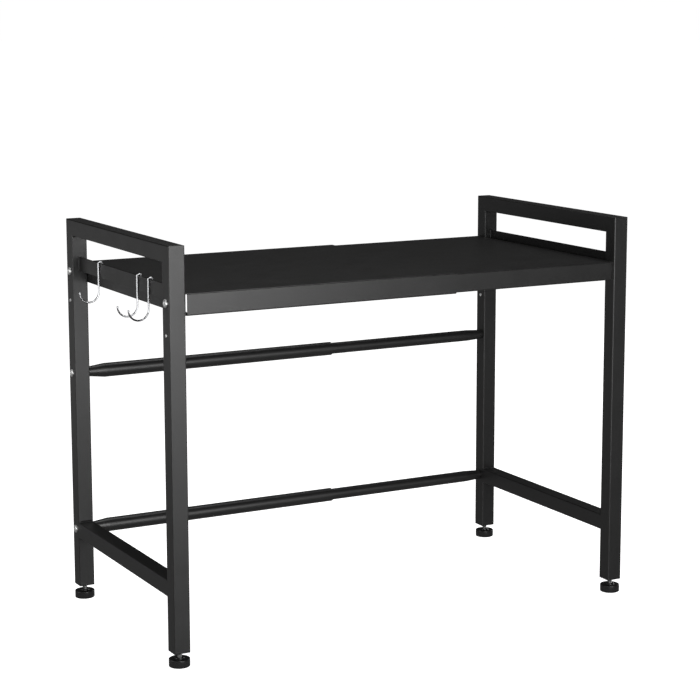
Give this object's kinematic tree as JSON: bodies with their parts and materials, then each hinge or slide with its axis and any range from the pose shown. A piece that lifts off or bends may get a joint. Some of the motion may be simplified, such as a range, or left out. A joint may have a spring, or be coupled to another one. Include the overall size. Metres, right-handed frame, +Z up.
{
  "type": "microwave stand",
  "caption": "Width-adjustable countertop rack: black square-tube side frames, sliding two-part sheet shelf, telescopic rear bars, levelling feet and wire side hooks.",
  "frame": {"origin": "on the surface the rack stands on, under the middle of its bounding box, hooks and bolt heads included, with the rack open as in the picture", "axes": "+X along the width towards the side that slides out, +Y to the back, +Z up"},
  "size_m": [0.6517, 0.3324, 0.4919],
  "materials": {
    "black_powder_coat": "semi-gloss black powder coat",
    "bright_zinc": "bright zinc plate",
    "black_plastic": "moulded matt black",
    "hook_chrome": "bright chrome plate"
  },
  "bodies": {
    "left_side": {"left_front_post": "black_powder_coat", "left_rear_post": "black_powder_coat", "left_top_bar": "black_powder_coat", "left_lower_rail": "black_powder_coat", "left_shelf_strip": "black_powder_coat", "outer_shelf_panel": "black_powder_coat", "lower_outer_crossbar": "black_powder_coat", "upper_outer_crossbar": "black_powder_coat", "left_crossbar_plugs": "black_plastic", "left_crossbar_bolts": "bright_zinc", "left_shelf_bolts": "bright_zinc", "left_shelf_nuts": "bright_zinc", "left_spare_screws": "bright_zinc", "left_foot_plugs": "black_plastic"},
    "right_side": {"right_front_post": "black_powder_coat", "right_rear_post": "black_powder_coat", "right_top_bar": "black_powder_coat", "right_lower_rail": "black_powder_coat", "right_shelf_strip": "black_powder_coat", "inner_shelf_panel": "black_powder_coat", "lower_inner_crossbar": "black_powder_coat", "upper_inner_crossbar": "black_powder_coat", "right_crossbar_plugs": "black_plastic", "right_crossbar_bolts": "bright_zinc", "right_shelf_bolts": "bright_zinc", "right_shelf_nuts": "bright_zinc", "right_spare_screws": "bright_zinc", "right_foot_plugs": "black_plastic"},
    "front_left_stud": {"front_left_stud": "bright_zinc"},
    "front_left_pad": {"front_left_pad": "black_plastic"},
    "rear_left_stud": {"rear_left_stud": "bright_zinc"},
    "rear_left_pad": {"rear_left_pad": "black_plastic"},
    "front_right_stud": {"front_right_stud": "bright_zinc"},
    "front_right_pad": {"front_right_pad": "black_plastic"},
    "rear_right_stud": {"rear_right_stud": "bright_zinc"},
    "rear_right_pad": {"rear_right_pad": "black_plastic"},
    "front_hook": {"front_hook": "hook_chrome"},
    "middle_hook": {"middle_hook": "hook_chrome"},
    "rear_hook": {"rear_hook": "hook_chrome"}
  },
  "joints": [
    {"name": "width_slide", "type": "slide", "parent": "left_side", "child": "right_side", "axis": [1, 0, 0], "range_m": [-0.2307, 0.0093]},
    {"name": "front_left_foot_height", "type": "slide", "parent": "left_side", "child": "front_left_stud", "axis": [0, 0, 1], "range_m": [-0.01, 0.006]},
    {"name": "front_left_pad_swivel", "type": "hinge", "parent": "front_left_stud", "child": "front_left_pad", "pos_m": [-0.2972, -0.1537, 0], "axis": [0, 0, 1], "continuous": true},
    {"name": "rear_left_foot_height", "type": "slide", "parent": "left_side", "child": "rear_left_stud", "axis": [0, 0, 1], "range_m": [-0.01, 0.006]},
    {"name": "rear_left_pad_swivel", "type": "hinge", "parent": "rear_left_stud", "child": "rear_left_pad", "pos_m": [-0.2972, 0.1537, 0], "axis": [0, 0, 1], "continuous": true},
    {"name": "front_right_foot_height", "type": "slide", "parent": "right_side", "child": "front_right_stud", "axis": [0, 0, 1], "range_m": [-0.01, 0.006]},
    {"name": "front_right_pad_swivel", "type": "hinge", "parent": "front_right_stud", "child": "front_right_pad", "pos_m": [0.3135, -0.1537, 0], "axis": [0, 0, 1], "continuous": true},
    {"name": "rear_right_foot_height", "type": "slide", "parent": "right_side", "child": "rear_right_stud", "axis": [0, 0, 1], "range_m": [-0.01, 0.006]},
    {"name": "rear_right_pad_swivel", "type": "hinge", "parent": "rear_right_stud", "child": "rear_right_pad", "pos_m": [0.3135, 0.1537, 0], "axis": [0, 0, 1], "continuous": true},
    {"name": "front_hook_slide", "type": "slide", "parent": "left_side", "child": "front_hook", "axis": [0, 1, 0], "range_m": [-0.054, 0.008]},
    {"name": "middle_hook_slide", "type": "slide", "parent": "left_side", "child": "middle_hook", "axis": [0, 1, 0], "range_m": [-0.02, 0.05]},
    {"name": "rear_hook_slide", "type": "slide", "parent": "left_side", "child": "rear_hook", "axis": [0, 1, 0], "range_m": [-0.068, 0.066]}
  ]
}
